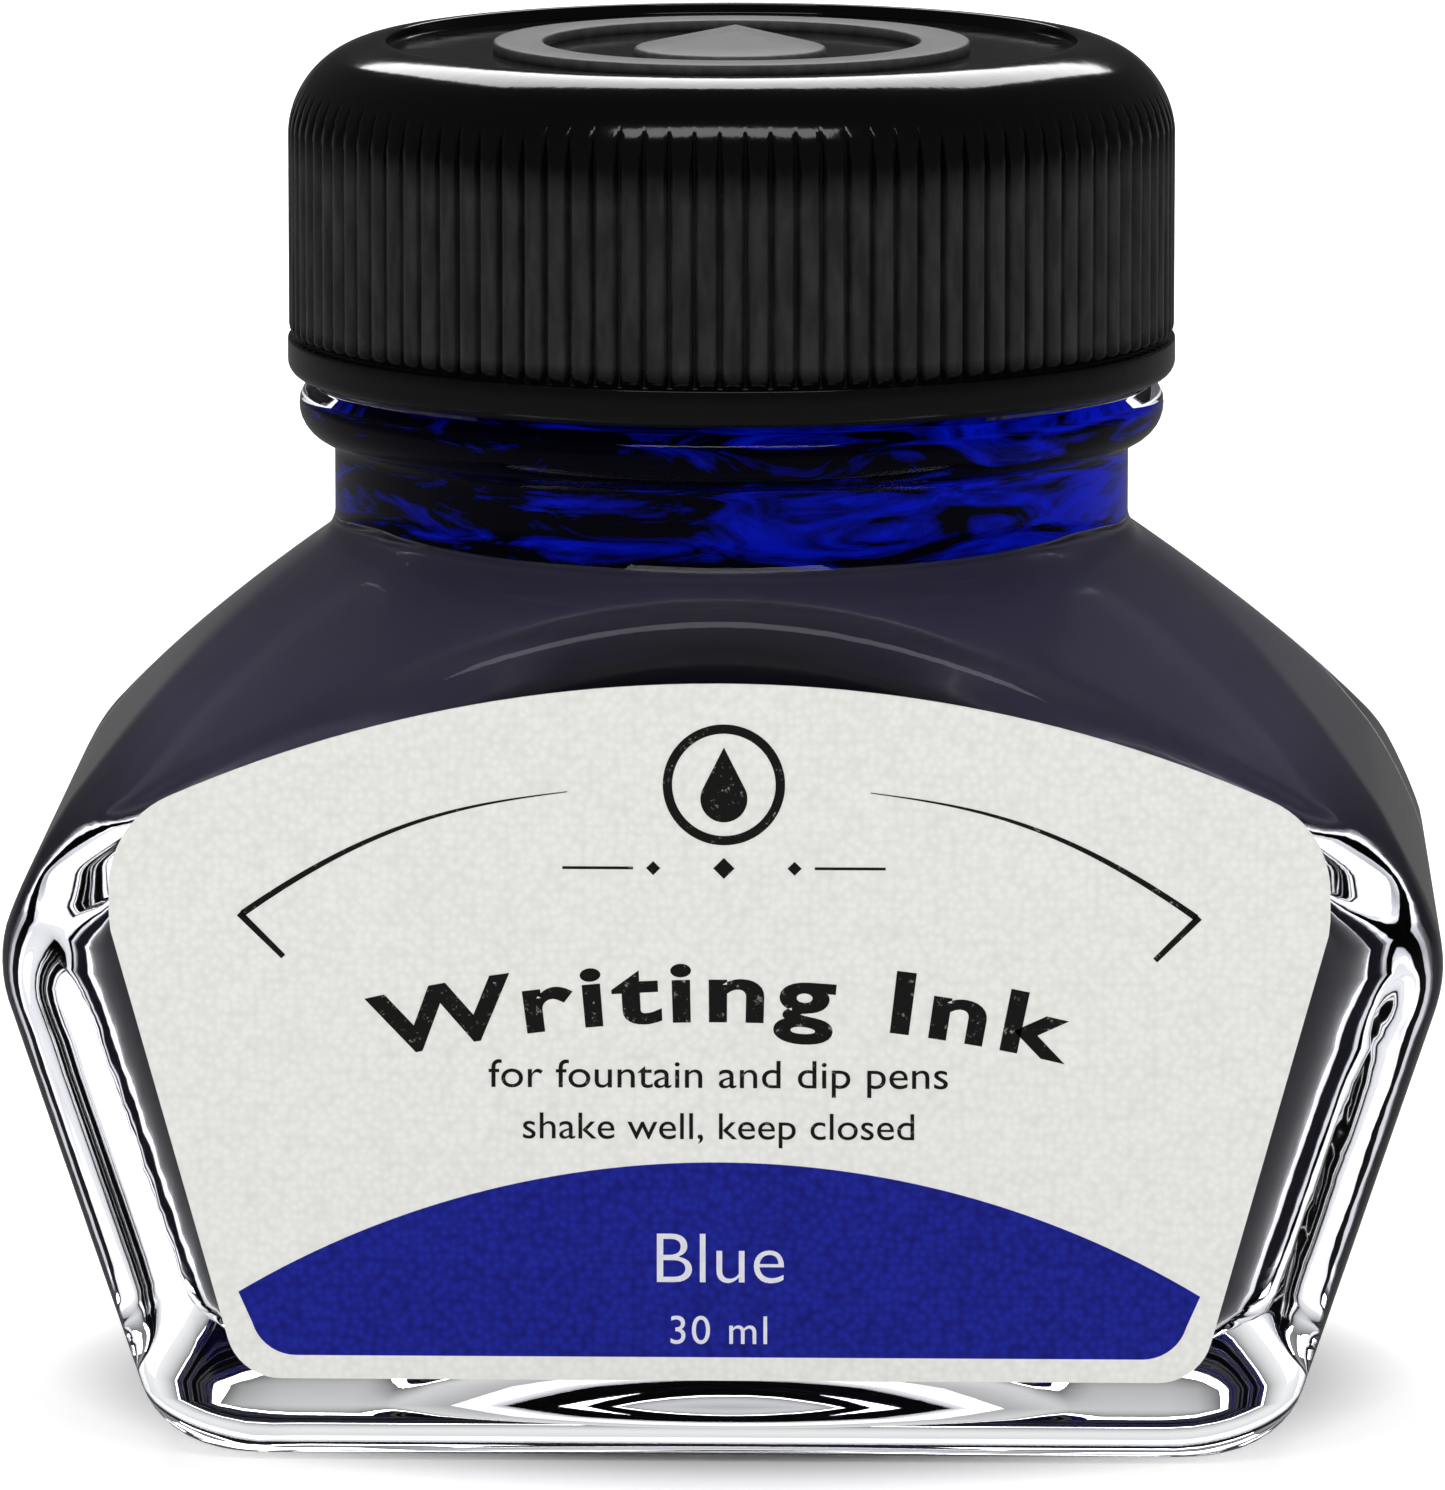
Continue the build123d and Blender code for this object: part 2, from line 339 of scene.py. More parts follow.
def eased_floor(floor_z, heel, steps):
    """Heights up a rounded foot, close together near the floor."""
    return [floor_z + heel * (1 - math.cos(t)) for t in np.linspace(0.12, math.pi / 2, steps)]


def thread_lift(angles, z, start_z, start_angle):
    """How far a screw ridge stands out at each angle and height. It runs out smoothly at both ends."""
    lift = np.zeros_like(angles)
    for turn in (0, 1, 2):
        along = (angles - start_angle) % (2 * math.pi) + 2 * math.pi * turn
        middle = start_z + thread_pitch * along / (2 * math.pi)
        flank = thread_half_root - thread_half_crest
        share = np.clip((thread_half_root - np.abs(z - middle)) / flank, 0, 1)
        left_to_go = thread_turns * 2 * math.pi - along
        ends = np.clip(along / thread_run_out, 0, 1) * np.clip(left_to_go / thread_run_out, 0, 1)
        share = share * share * (3 - 2 * share)
        lift = np.maximum(lift, thread_height * share * ends)
    return lift


def chamber_rings(angles, grow):
    """Rings of the hollow from just under the bore down to the floor's centre."""
    form = inside(grow)
    floor_z = base_wall - grow
    heights = spaced((34.6, 30.0, 0.2), (30.0, 20.0, 0.25), (20.0, 12.0, 1.0), (12.0, floor_z + 2.6, 1.2))
    heights += eased_floor(floor_z, inner_floor_round, 9)[::-1][1:]
    rings = []
    for z in heights:
        rings.append(round_ring(outline_radii(np.full_like(angles, z), angles, **form), z, angles))
    last = rings[-1]
    for share in (0.93, 0.8, 0.6, 0.4, 0.2):
        ring = last * np.array([share, share, 1.0])
        ring[:, 2] = floor_z
        rings.append(ring)
    return rings


def glass_piece():
    angles = corner_angles(256, 33.0)
    rings = []
    punt_sphere = (punt_radius**2 + punt_height**2) / (2 * punt_height)
    for r in np.linspace(0.8, punt_radius, 12):
        z = punt_height - punt_sphere + math.sqrt(punt_sphere**2 - r**2)
        rings.append(round_ring(r, max(z, 0.0), angles))
    first = outline_radii(np.full_like(angles, eased_floor(0.0, heel_round, 9)[0]), angles, **outside)
    for share in (0.25, 0.6, 0.9, 0.985):
        rings.append(round_ring(punt_radius + (first - punt_radius) * share, 0.0, angles))
    heights = eased_floor(0.0, heel_round, 9) + spaced(
        (3.2, 17.0, 1.4), (17.6, 22.6, 0.5), (22.75, 37.4, 0.2), (37.9, bead_low_z - 0.05, 0.5))
    for z in heights:
        rings.append(round_ring(outline_radii(np.full_like(angles, z), angles, **outside), z, angles))
    bead_mid = bead_low_z + bead_radius - neck_radius
    profile = arc_points((neck_radius, bead_mid), bead_radius - neck_radius, -86, 0, 9)
    profile += [(bead_radius - 0.03, bead_mid + 0.3), (bead_radius - 0.15, bead_mid + 0.55)]
    profile += arc_points((bead_top_radius - 0.25, bead_top_z - 0.25), 0.25, 25, 90, 5)
    profile += [(16.0, bead_top_z), (finish_radius + 0.3, bead_top_z)]
    profile += arc_points((finish_radius + 0.25, bead_top_z + 0.25), 0.25, 270, 180, 5)
    for r, z in profile:
        rings.append(round_ring(r, z, angles))
    for z in np.arange(bead_top_z + 0.5, mouth_z - land_round - 0.05, 0.2):
        lift = thread_lift(angles, z, thread_start_z, 0.0)
        rings.append(round_ring(finish_radius + lift, z, angles))
    lip = arc_points((finish_radius - land_round, mouth_z - land_round), land_round, 0, 90, 7)
    lip += arc_points((bore_radius + land_round, mouth_z - land_round), land_round, 90, 180, 7)
    lip += [(bore_radius, z) for z in (49.0, 46.0, 43.0, 40.0, 38.0, 36.5, 35.4)]
    for r, z in lip:
        rings.append(round_ring(r, z, angles))
    return skin("bottle_glass", rings + chamber_rings(angles, 0.0))


def ink_piece():
    angles = corner_angles(256, 35.0)
    top = [round_ring(r, ink_level, angles) for r in (2.0, 6.0, 10.0, bore_radius - 0.5)]
    # The liquid climbs the wall a little
    for radius, climb in ((bore_radius - 0.2, 0.12), (bore_radius + ink_overlap, 0.3)):
        top.append(round_ring(radius, ink_level + climb, angles))
    rings = [ring for ring in chamber_rings(angles, ink_overlap) if ring[0, 2] < ink_level]
    return skin("ink_body", top + rings)


def film_piece():
    """Thin coat of ink left on the inside of the neck by the last time the bottle was tilted."""
    heights = np.linspace(ink_level + 0.3, film_top_z, 30)
    profile = [(bore_radius + ink_overlap, z) for z in heights]
    profile += [(bore_radius - film_thickness, z) for z in heights[::-1]]
    return turned("ink_film", profile, 192, closed_loop=True)


glass = glass_piece()
liquid = ink_piece()
film = film_piece()

# Clear glass: the faintest green-blue tint, soft waves left by the mould
clear_glass = Finish(
    "thick_clear_glass", Roughness=0.004, IOR=1.5, Transmission_Weight=1.0,
    Specular_Tint=(0.35, 0.35, 0.37, 1))
waves = clear_glass.noise(55.0, 2.0, 0.5)
seeds = clear_glass.noise(900.0, 2.0, 0.4)
clear_glass.feed(Base_Color=clear_glass.blend(
    clear_glass.noise(60.0, 2.0), (0.955, 0.968, 0.985, 1), (0.975, 0.982, 0.99, 1)))
clear_glass.bump(waves + seeds * 0.02, 0.06, 0.0006)
glass.data.materials.append(clear_glass.material)

# Ink: nearly black violet-blue, with the mirror that a wet wall shows at a low angle
blue_black = Finish("blue_black_ink", Roughness=0.3, IOR=1.33)
cloud = blue_black.noise(70.0, 4.0, 0.6)
facing = blue_black.axis(blue_black.node("ShaderNodeNewGeometry", out="Normal"), "Z")
height = blue_black.axis(blue_black.place(), "Z")
# Painted light: where it faces up under the sloping shoulders, the ink is coloured a paler violet-grey, as
# if lit from above
painted_shoulder_light = blue_black.ramp(facing, 0.25, 0.7) * blue_black.ramp(height, 0.021, 0.026) * (0.75 + 0.4 * cloud)
blue_black.feed(Base_Color=blue_black.blend(painted_shoulder_light, colour(9, 5, 26), colour(84, 80, 104)))
mirror = blue_black.node(
    "ShaderNodeBsdfAnisotropic", None, {"Color": (0.96, 0.96, 1.0, 1), "Roughness": 0.02})
edge = blue_black.node("ShaderNodeFresnel", None, {"IOR": 0.887})
mixed = blue_black.node("ShaderNodeMixShader", None, {
    0: edge, 1: Link(blue_black.tree, blue_black.shader.outputs[0]), 2: mirror})
blue_black.tree.links.new(mixed.socket, blue_black.output.inputs["Surface"])
liquid.data.materials.append(blue_black.material)

# Film: thick dark runs of ink between thinner streaks, with bright saturated blue painted into the colour
# where light would shine through them; this painted light is strongest towards +X and near one height
wet_blue = Finish("wet_ink_film", Roughness=0.5, IOR=1.2, Specular_IOR_Level=0.0)
runs = wet_blue.noise(170.0, 4.0, 0.62, stretch=(1.0, 1.0, 3.2), distortion=1.4)
side = wet_blue.axis(wet_blue.place(), "X")
level = wet_blue.axis(wet_blue.place(), "Z")
# Height where the painted light through the film is brightest
painted_backlight_level = 0.0362
away = (level - painted_backlight_level).maths("ABSOLUTE")
painted_backlight = wet_blue.ramp(runs + side * 7.0 - away * 42.0, 0.40, 0.60)
wet_blue.feed(Base_Color=wet_blue.blend(painted_backlight, colour(1, 1, 18), colour(6, 30, 250)))
film.data.materials.append(wet_blue.material)

# ------------------------------------------------------------------------------------------ the cap


def cap_piece():
    per_rib = 8
    count = rib_count * per_rib
    places = np.array([-0.5, -0.43, -0.40, -0.26, 0.0, 0.26, 0.40, 0.43])
    within = np.tile(places, rib_count)
    angles = (np.repeat(np.arange(rib_count), per_rib) + within) * (2 * math.pi / rib_count)
    across = np.clip(np.abs(within) / (rib_share / 2 + 0.03), 0, 1)
    swell = np.sqrt(np.maximum(1 - across**4, 0))
    ribs = rib_root + (rib_tip - rib_root) * swell
    ribs = np.where(np.abs(within) > 0.45, rib_root - 0.12, ribs)
    rings = []
    for r in (2.0, 6.0, 10.0, 13.0):
        rings.append(round_ring(r, cap_top_z - recess_depth, angles))
    for r, z in arc_points((recess_radius - 0.12, cap_top_z - recess_depth + 0.12), 0.12, -90, 0, 4):
        rings.append(round_ring(r, z, angles))
    for r, z in arc_points((recess_radius + 0.09, cap_top_z - 0.09), 0.09, 180, 90, 4):
        rings.append(round_ring(r, z, angles))
    centre_r, centre_z = rib_tip + 0.01 - dome_round, cap_top_z - dome_round
    for a in np.linspace(90, 0, 26)[1:]:
        radius = centre_r + dome_round * math.cos(math.radians(a))
        height = centre_z + dome_round * math.sin(math.radians(a))
        rings.append(round_ring(np.minimum(radius, ribs), height, angles))
    for z in (50.0, 47.5, 45.0, rib_low_z + 0.45):
        rings.append(round_ring(ribs, z, angles))
    for share, z in ((0.86, 0.28), (0.5, 0.14), (0.0, 0.07)):
        rings.append(round_ring(rib_root - 0.05 + (ribs - rib_root + 0.05) * share, rib_low_z + z, angles))
    rings.append(round_ring(rib_root - 0.06, rib_low_z, angles))
    for r, z in arc_points((rim_radius - 0.1, rib_low_z - 0.1), 0.1, 90, 0, 4):
        rings.append(round_ring(r, z, angles))
    for r, z in arc_points((rim_radius - 0.6, cap_rim_z + 0.6), 0.6, 0, -90, 9):
        rings.append(round_ring(r, z, angles))
    rings.append(round_ring(cap_bore + 0.25, cap_rim_z, angles))
    for r, z in arc_points((cap_bore + 0.2, cap_rim_z + 0.2), 0.2, 240, 180, 3):
        rings.append(round_ring(r, z, angles))
    # A quarter turn on, with its upper flank a fit under the glass ridge
    start_z = thread_start_z - thread_half_root - thread_half_crest - flank_gap + thread_pitch / 4
    for z in np.arange(cap_rim_z + 0.4, ceiling_z - 0.3, 0.3):
        lift = thread_lift(angles, z, start_z, math.pi / 2)
        rings.append(round_ring(cap_bore - lift, z, angles))
    for r, z in arc_points((cap_bore - 0.25, ceiling_z - 0.25), 0.25, 0, 90, 4):
        rings.append(round_ring(r, z, angles))
    rings += [round_ring(r, ceiling_z, angles) for r in (12.0, 8.0, 3.0)]
    return skin("cap_moulding", rings)


def wad_piece():
    radius, low, high = wad_high[0], wad_low[2], wad_high[2]
    profile = [(4.0, low), (12.2, low), (12.6, low + 0.05), (14.2, low + 0.05)]
    profile += arc_points((radius - 0.15, low + 0.15), 0.15, -90, 0, 4)
    profile += arc_points((radius - 0.15, high - 0.15), 0.15, 0, 90, 4) + [(10.0, high), (4.0, high)]
    return turned("cap_wad", profile, 160)


def badge_ring():
    low, high = badge_low[2], badge_high[2]
    inner = badge_radius - badge_band
    edge = 0.12
    profile = [(inner, low), (inner, high - edge)]
    profile += arc_points((inner + edge, high - edge), edge, 160, 90, 4)
    profile += arc_points((badge_radius - edge, high - edge), edge, 90, 0, 5) + [(badge_radius, low)]
    return turned("badge_ring", profile, 192, closed_loop=True)


def drop_outline(scale=1.0, steps=40):
    """Outline of an ink drop, its point up, as (x, y) from a unit drop that reaches 1 up and 1 down."""
    bulb, tip = 0.62, 1.0
    low = bulb - 1.0
    a = math.acos(bulb / (tip - low))
    turn = np.linspace(math.pi / 2 - a, math.pi / 2 + a - 2 * math.pi, steps)
    points = [(0.0, tip)] + [(bulb * math.cos(t), low + bulb * math.sin(t)) for t in turn]
    return [(x * scale, y * scale) for x, y in points]


def badge_drop():
    low, high = badge_low[2], badge_high[2]
    middle = badge_radius - badge_band - badge_gap
    rings = []
    steps = (
        (0.4, low), (1.0, low), (1.0, high - 0.14), (0.985, high - 0.05), (0.955, high), (0.5, high))
    for scale, z in steps:
        outline = drop_outline(middle * scale, 64)
        rings.append(np.array([(x, y, z) for x, y in outline]))
    return skin("badge_drop", rings)


cap = cap_piece()
wad = wad_piece()
ring = badge_ring()
drop = badge_drop()

# Cap plastic: glossy black, a little dust dulling the gloss here and there; the ribbed band is painted a
# paler grey as a painted sheen, broken up by streaky noise
black_plastic = Finish("gloss_black_plastic", IOR=1.46, Roughness=0.1)
fog = black_plastic.noise(300.0, 4.0, 0.6)
sheen_streaks = black_plastic.noise(1500.0, 3.0, 0.6, stretch=(1.0, 1.0, 0.25))
up_cap = black_plastic.axis(black_plastic.place(), "Z")
# Painted sheen: the height band of the ribs is coloured paler, as if catching soft light
rib_height_band = black_plastic.ramp(up_cap, 0.0435, 0.0440) * (1 - black_plastic.ramp(up_cap, 0.0503, 0.0516))
painted_rib_sheen = rib_height_band * (0.45 + 0.55 * black_plastic.ramp(sheen_streaks, 0.4, 0.7))
black_plastic.feed(
    Base_Color=black_plastic.blend(painted_rib_sheen, colour(9, 9, 10), colour(46, 46, 47)),
    Roughness=0.06 + fog * 0.08,
)
black_plastic.bump(black_plastic.noise(900.0, 3.0, 0.6), 0.05, 0.0002)
cap.data.materials.append(black_plastic.material)

foam_board = Finish("white_foamed_wad", Roughness=0.6)
bubbles = foam_board.ramp(foam_board.noise(500.0, 5.0, 0.7), 0.35, 0.7)
foam_board.feed(Base_Color=foam_board.blend(bubbles, colour(216, 214, 208), colour(236, 235, 231)))
foam_board.bump(foam_board.noise(2500.0, 3.0, 0.6), 0.3, 0.0001)
wad.data.materials.append(foam_board.material)

grey_print = Finish("grey_badge_plastic", Roughness=0.42, Specular_IOR_Level=0.25)
grain = grey_print.noise(1800.0, 3.0, 0.6)
grey_print.feed(
    Base_Color=grey_print.blend(grey_print.ramp(grain, 0.3, 0.7), colour(74, 72, 72), colour(96, 94, 94)),
    Roughness=0.38 + grain * 0.16,
)
grey_print.bump(grain, 0.12, 0.0001)
for piece in (ring, drop):
    piece.data.materials.append(grey_print.material)

# ---------------------------------------------------------------------------------------- the label

face_y = -half_depth
paper_front = paper_low[1] + 0.02
label_half, label_low_z, label_peak_z = paper_high[0], paper_low[2], paper_high[2]
label_waist_z, label_lean = 22.0, math.tan(math.radians(15.3))
label_arch, label_corner, label_shoulder = 54.0, 2.2, 4.0


def label_outline(inset=0.0):
    """Paper's edge as (x, z) points, let in by inset."""
    arch = label_arch - inset
    half = label_half - inset
    low = label_low_z + inset
    foot = label_half - (label_waist_z - label_low_z) * label_lean - inset * 0.97
    centre_z = label_peak_z - label_arch
    # Round corner at the foot
    corner = max(label_corner - inset * 0.4, 0.6)
    turn = math.atan2(label_waist_z - low, half - foot)
    cx, cz = foot - corner * math.tan(turn / 2), low + corner
    right = [(cx + corner * math.sin(t), cz - corner * math.cos(t)) for t in np.linspace(0, turn, 10)]
    right += [(half - 0.06, label_waist_z - 0.4), (half, label_waist_z + 0.2)]
    # Larger corner between the side and the arch
    shoulder = label_shoulder - inset
    a = math.asin((half - shoulder) / (arch - shoulder))
    sx, sz = (arch - shoulder) * math.sin(a), centre_z + (arch - shoulder) * math.cos(a)
    for t in np.linspace(0, math.pi / 2 - a, 12):
        right.append((sx + shoulder * math.cos(t), sz + shoulder * math.sin(t)))
    right += [(arch * math.sin(t), centre_z + arch * math.cos(t)) for t in np.linspace(a, 0, 24)[1:-1]]
    left = [(-x, z) for x, z in right[::-1]]
    return right + [(0.0, centre_z + arch)] + left


def sheet_piece(name, outline, back_y, front_y):
    """A thin sheet facing -Y, closed all round, from an outline of (x, z) points."""
    count = len(outline)
    verts = [(x, back_y, z) for x, z in outline] + [(x, front_y, z) for x, z in outline]
    faces = [tuple(range(count)), tuple(range(2 * count - 1, count - 1, -1))]
    faces += [(i, (i + 1) % count, (i + 1) % count + count, i + count) for i in range(count)]
    return new_piece(name, verts, faces, smooth=False)


paper = sheet_piece("label_paper_sheet", label_outline(), face_y, paper_front)


def field_outline():
    """The dark blue field: the paper's foot, let in by a thin border, with a low arc on top."""
    arc_radius, peak_z, border = 37.0, 12.35, 0.95
    centre_z = peak_z - arc_radius

    def side_x(z):
        return label_half - (label_waist_z - z) * label_lean - border - 0.03

    # Climb the leaning side until the arc is reached
    z = 6.0
    while centre_z + math.sqrt(arc_radius**2 - side_x(z) ** 2) >= z:
        z += 0.1
    a = math.asin(side_x(z) / arc_radius)
    arc = [(arc_radius * math.sin(t), centre_z + arc_radius * math.cos(t)) for t in np.linspace(a, -a, 60)]
    right = sorted([q for q in label_outline(border) if q[0] > 0 and q[1] < z - 0.05], key=lambda q: q[1])
    return right + arc + [(-x, up) for x, up in right[::-1]]


def strip_outline(points, widths):
    """Outline of a curved stroke with a width at each of its points."""
    points = np.array(points, float)
    along = np.gradient(points, axis=0)
    along /= np.linalg.norm(along, axis=1)[:, None]
    normal = np.stack([-along[:, 1], along[:, 0]], axis=1)
    half = np.array(widths)[:, None] / 2
    return [tuple(p) for p in points + normal * half] + [tuple(p) for p in (points - normal * half)[::-1]]


def disc_outline(cx, cz, radius, steps=72):
    return [(cx + radius * math.cos(t), cz + radius * math.sin(t))
            for t in np.linspace(0, 2 * math.pi, steps, endpoint=False)]


def curve_through(points, steps=40):
    """A smooth line through a few points."""
    points = np.array(points, float)
    t = np.linspace(0, 1, len(points))
    fit = [np.polyfit(t, points[:, i], min(3, len(points) - 1)) for i in (0, 1)]
    fine = np.linspace(0, 1, steps)
    return np.stack([np.polyval(fit[0], fine), np.polyval(fit[1], fine)], axis=1)


def words(name, text, height, centre, arch=None, stretch=1.0, weight=0.0, gap=1.0):
    """Raised lettering that faces -Y, centred on (x, z). With arch, it bends along that radius."""
    bpy.ops.object.select_all(action="DESELECT")
    bpy.ops.object.text_add(location=(0, 0, 0))
    lettering = bpy.context.object
    lettering.name = name
    lettering.data.body = text
    lettering.data.align_x = "CENTER"
    lettering.data.size = 1.0
    lettering.data.space_character = gap
    lettering.data.offset = weight
    lettering.data.extrude = 0.01
    lettering.data.resolution_u = 6
    bpy.ops.object.convert(target="MESH")
    lettering = bpy.context.object
    mesh = lettering.data
    co = np.empty(len(mesh.vertices) * 3, np.float32)
    mesh.vertices.foreach_get("co", co)
    co = co.reshape(-1, 3).astype(float)
    cap_height = 0.73
    scale = height / cap_height
    x, up = co[:, 0] * scale * stretch, (co[:, 1] - cap_height / 2) * scale
    if arch:
        turn = x / arch
        px, pz = (arch + up) * np.sin(turn), (arch + up) * np.cos(turn) - arch
    else:
        px, pz = x, up
    depth = np.where(co[:, 2] > 0, print_front, print_back)
    out = np.stack([px + centre[0], depth, pz + centre[1]], axis=1) * mm
    mesh.vertices.foreach_set("co", out.ravel().astype(np.float32))
    mesh.update()
    shape = bmesh.new()
    shape.from_mesh(mesh)
    bmesh.ops.remove_doubles(shape, verts=shape.verts, dist=1e-8)
    bmesh.ops.recalc_face_normals(shape, faces=shape.faces)
    shape.to_mesh(mesh)
    shape.free()
    return lettering


def merged(name, pieces):
    """Several meshes as one."""
    bpy.ops.object.select_all(action="DESELECT")
    for piece in pieces:
        piece.select_set(True)
    bpy.context.view_layer.objects.active = pieces[0]
    bpy.ops.object.join()
    pieces[0].name = name
    bpy.ops.object.select_all(action="DESELECT")
    return pieces[0]


print_back, print_front = paper_front + 0.01, paper_front - 0.012
blue_field = sheet_piece("label_blue_field", field_outline(), paper_front + 0.01, paper_front - 0.006)


def print_sheet(name, outline):
    return sheet_piece(name, outline, print_back, print_front)


def black_printing():
    parts = []
    # A ring with a solid drop inside it
    centre = (0.2, 27.55)
    outer, inner = disc_outline(*centre, 2.42), disc_outline(*centre, 2.05)
    count = len(outer)
    verts = [(x, y, z) for y in (print_back, print_front) for x, z in outer + inner]
    faces = []
    for i in range(count):
        k = (i + 1) % count
        b = 2 * count
        faces += [(i, k, k + b, i + b), (count + k, count + i, count + i + b, count + k + b),
                  (i, count + i, count + k, k), (i + b, k + b, count + k + b, count + i + b)]
    parts.append(new_piece("disc_ring", verts, faces, smooth=False))
    drop_points = [(centre[0] + x, centre[1] + z) for x, z in drop_outline(1.5, 48)]
    parts.append(print_sheet("disc_drop", drop_points))
    # Two tapered rules that hook inward at their lower ends
    for side in (-1, 1):
        points = [(side * 6.0, 27.25), (side * 9.9, 26.6), (side * 14.0, 25.2), (side * 18.9, 22.3)]
        sweep = curve_through(points, 40)
        parts.append(print_sheet("rule", strip_outline(sweep, np.linspace(0.03, 0.26, 40))))
        hook = curve_through([(side * 19.02, 22.32), (side * 18.15, 21.45), (side * 17.28, 20.58)], 8)
        parts.append(print_sheet("hook", strip_outline(hook, np.linspace(0.27, 0.22, 8))))
    # A short ornament: three small diamonds between thin rules
    row_z = 24.2
    for x, size in ((-2.6, 0.28), (0.2, 0.42), (3.0, 0.28)):
        points = [(x - size, row_z), (x, row_z - size), (x + size, row_z), (x, row_z + size)]
        parts.append(print_sheet("diamond", points))
    for x in (-6.2, 3.8):
        points = [(x, 24.15), (x + 2.8, 24.15), (x + 2.8, 24.26), (x, 24.26)]
        parts.append(print_sheet("thin_rule", points))
    parts.append(words(
        "title", "Writing Ink", 2.5, (0.0, 19.35), arch=60.0, stretch=1.5, weight=0.026, gap=1.14))
    parts.append(words("first_line", "for fountain and dip pens", 1.18, (0.0, 15.95), stretch=1.12))
    parts.append(words("second_line", "shake well, keep closed", 1.12, (0.0, 13.85), stretch=1.08))
    return merged("label_black_print", parts)


black_print = black_printing()


def white_printing():
    parts = [
        words("colour_word", "Blue", 2.15, (0.0, 8.55), stretch=1.05, weight=-0.008),
        words("contents", "30 ml", 1.2, (0.0, 5.6), gap=1.1),
    ]
    return merged("label_white_print", parts)


print_back, print_front = paper_front - 0.004, paper_front - 0.016
white_print = white_printing()

# Paper: warm white with the linen emboss and a faint fibre
embossed_paper = Finish("embossed_label_paper", Roughness=0.72, Specular_IOR_Level=0.25)
where = embossed_paper.place()
cells = embossed_paper.node(
    "ShaderNodeTexVoronoi", {"feature": "SMOOTH_F1"},
    {"Vector": where, "Scale": 3000.0, "Smoothness": 0.6, "Randomness": 0.75})
fibre = embossed_paper.noise(900.0, 4.0, 0.6)
tone = embossed_paper.ramp(cells * 0.7 + fibre * 0.5, 0.35, 0.95)
embossed_paper.feed(Base_Color=embossed_paper.blend(tone, colour(236, 236, 232), colour(222, 221, 216)))
embossed_paper.bump(1 - cells, 0.35, 0.0001)
paper.data.materials.append(embossed_paper.material)

black_ink_print = Finish("black_label_print", Roughness=0.5, Specular_IOR_Level=0.15)
speck = black_ink_print.noise(4200.0, 3.0, 0.7)
black_ink_print.feed(Base_Color=black_ink_print.blend(
    black_ink_print.ramp(speck, 0.62, 0.74), colour(24, 23, 22), colour(150, 148, 144)))
black_ink_print.bump(speck, 0.2, 0.00005)
black_print.data.materials.append(black_ink_print.material)

blue_print = Finish("blue_label_print", Roughness=0.55, Specular_IOR_Level=0.15)
blue_cells = blue_print.node(
    "ShaderNodeTexVoronoi", {"feature": "SMOOTH_F1"},
    {"Vector": blue_print.place(), "Scale": 3000.0, "Smoothness": 0.6, "Randomness": 0.75})
patchy = blue_print.ramp(blue_cells + blue_print.noise(700.0, 3.0) * 0.4, 0.4, 0.95)
blue_print.feed(Base_Color=blue_print.blend(patchy, colour(20, 32, 150), colour(10, 18, 120)))
blue_print.bump(1 - blue_cells, 0.3, 0.0001)
blue_field.data.materials.append(blue_print.material)

white_out = Finish("unprinted_white", Roughness=0.6)
white_out.feed(Base_Color=white_out.blend(
    white_out.noise(2600.0, 3.0), colour(206, 208, 222), colour(236, 236, 240)))
white_print.data.materials.append(white_out.material)

# ------------------------------------------------------------------------- bodies, nodes and finishes

for piece, body, node, slot in (
    (glass, "bottle", "glass_bottle", "clear_glass"),
    (liquid, "bottle", "ink", "blue_ink"),
    (film, "bottle", "ink", "blue_ink"),
    (paper, "bottle", "front_label", "label_paper"),
    (blue_field, "bottle", "front_label", "label_paper"),
    (black_print, "bottle", "front_label", "label_paper"),
    (white_print, "bottle", "front_label", "label_paper"),
    (cap, "cap", "cap_shell", "cap_plastic"),
    (wad, "liner", "cap_liner", "liner_wad"),
    (ring, "cap", "cap_emblem", "badge_grey"),
    (drop, "cap", "cap_emblem", "badge_grey"),
):
    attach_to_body(piece, body)
    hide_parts(node)

# --------------------------------------------------------------------------------- floor and studio


def backdrop():
    """A pale floor that runs out to the horizon."""
    bpy.ops.object.select_all(action="DESELECT")
    bpy.ops.mesh.primitive_plane_add(size=6.0, location=(0, 0, -0.00002))
    sheet = bpy.context.object
    sheet.name = "studio_floor"
    pale = Finish("pale_floor", Roughness=0.85, Specular_IOR_Level=0.1)
    pale.feed(Base_Color=pale.blend(pale.noise(8.0, 2.0), (0.93, 0.93, 0.93, 1), (0.95, 0.95, 0.95, 1)))
    # The floor glows evenly white, except close round the bottle where the glow is cut down to a painted
    # shadow
    spread = pale.node("ShaderNodeVectorMath", {"operation": "LENGTH"}, {0: pale.node(
        "ShaderNodeVectorMath", {"operation": "MULTIPLY"}, {0: pale.place(), 1: (0.85, 1.0, 1.0)})}, out=1)
    beyond_painted_shadow = pale.ramp(spread, 0.0175, 0.0240)
    pale.feed(Emission_Color=pale.blend(beyond_painted_shadow, (0.05, 0.05, 0.05, 1), (1, 1, 1, 1)))
    pale.shader.inputs["Emission Strength"].default_value = 0.62
    sheet.data.materials.append(pale.material)
    return sheet


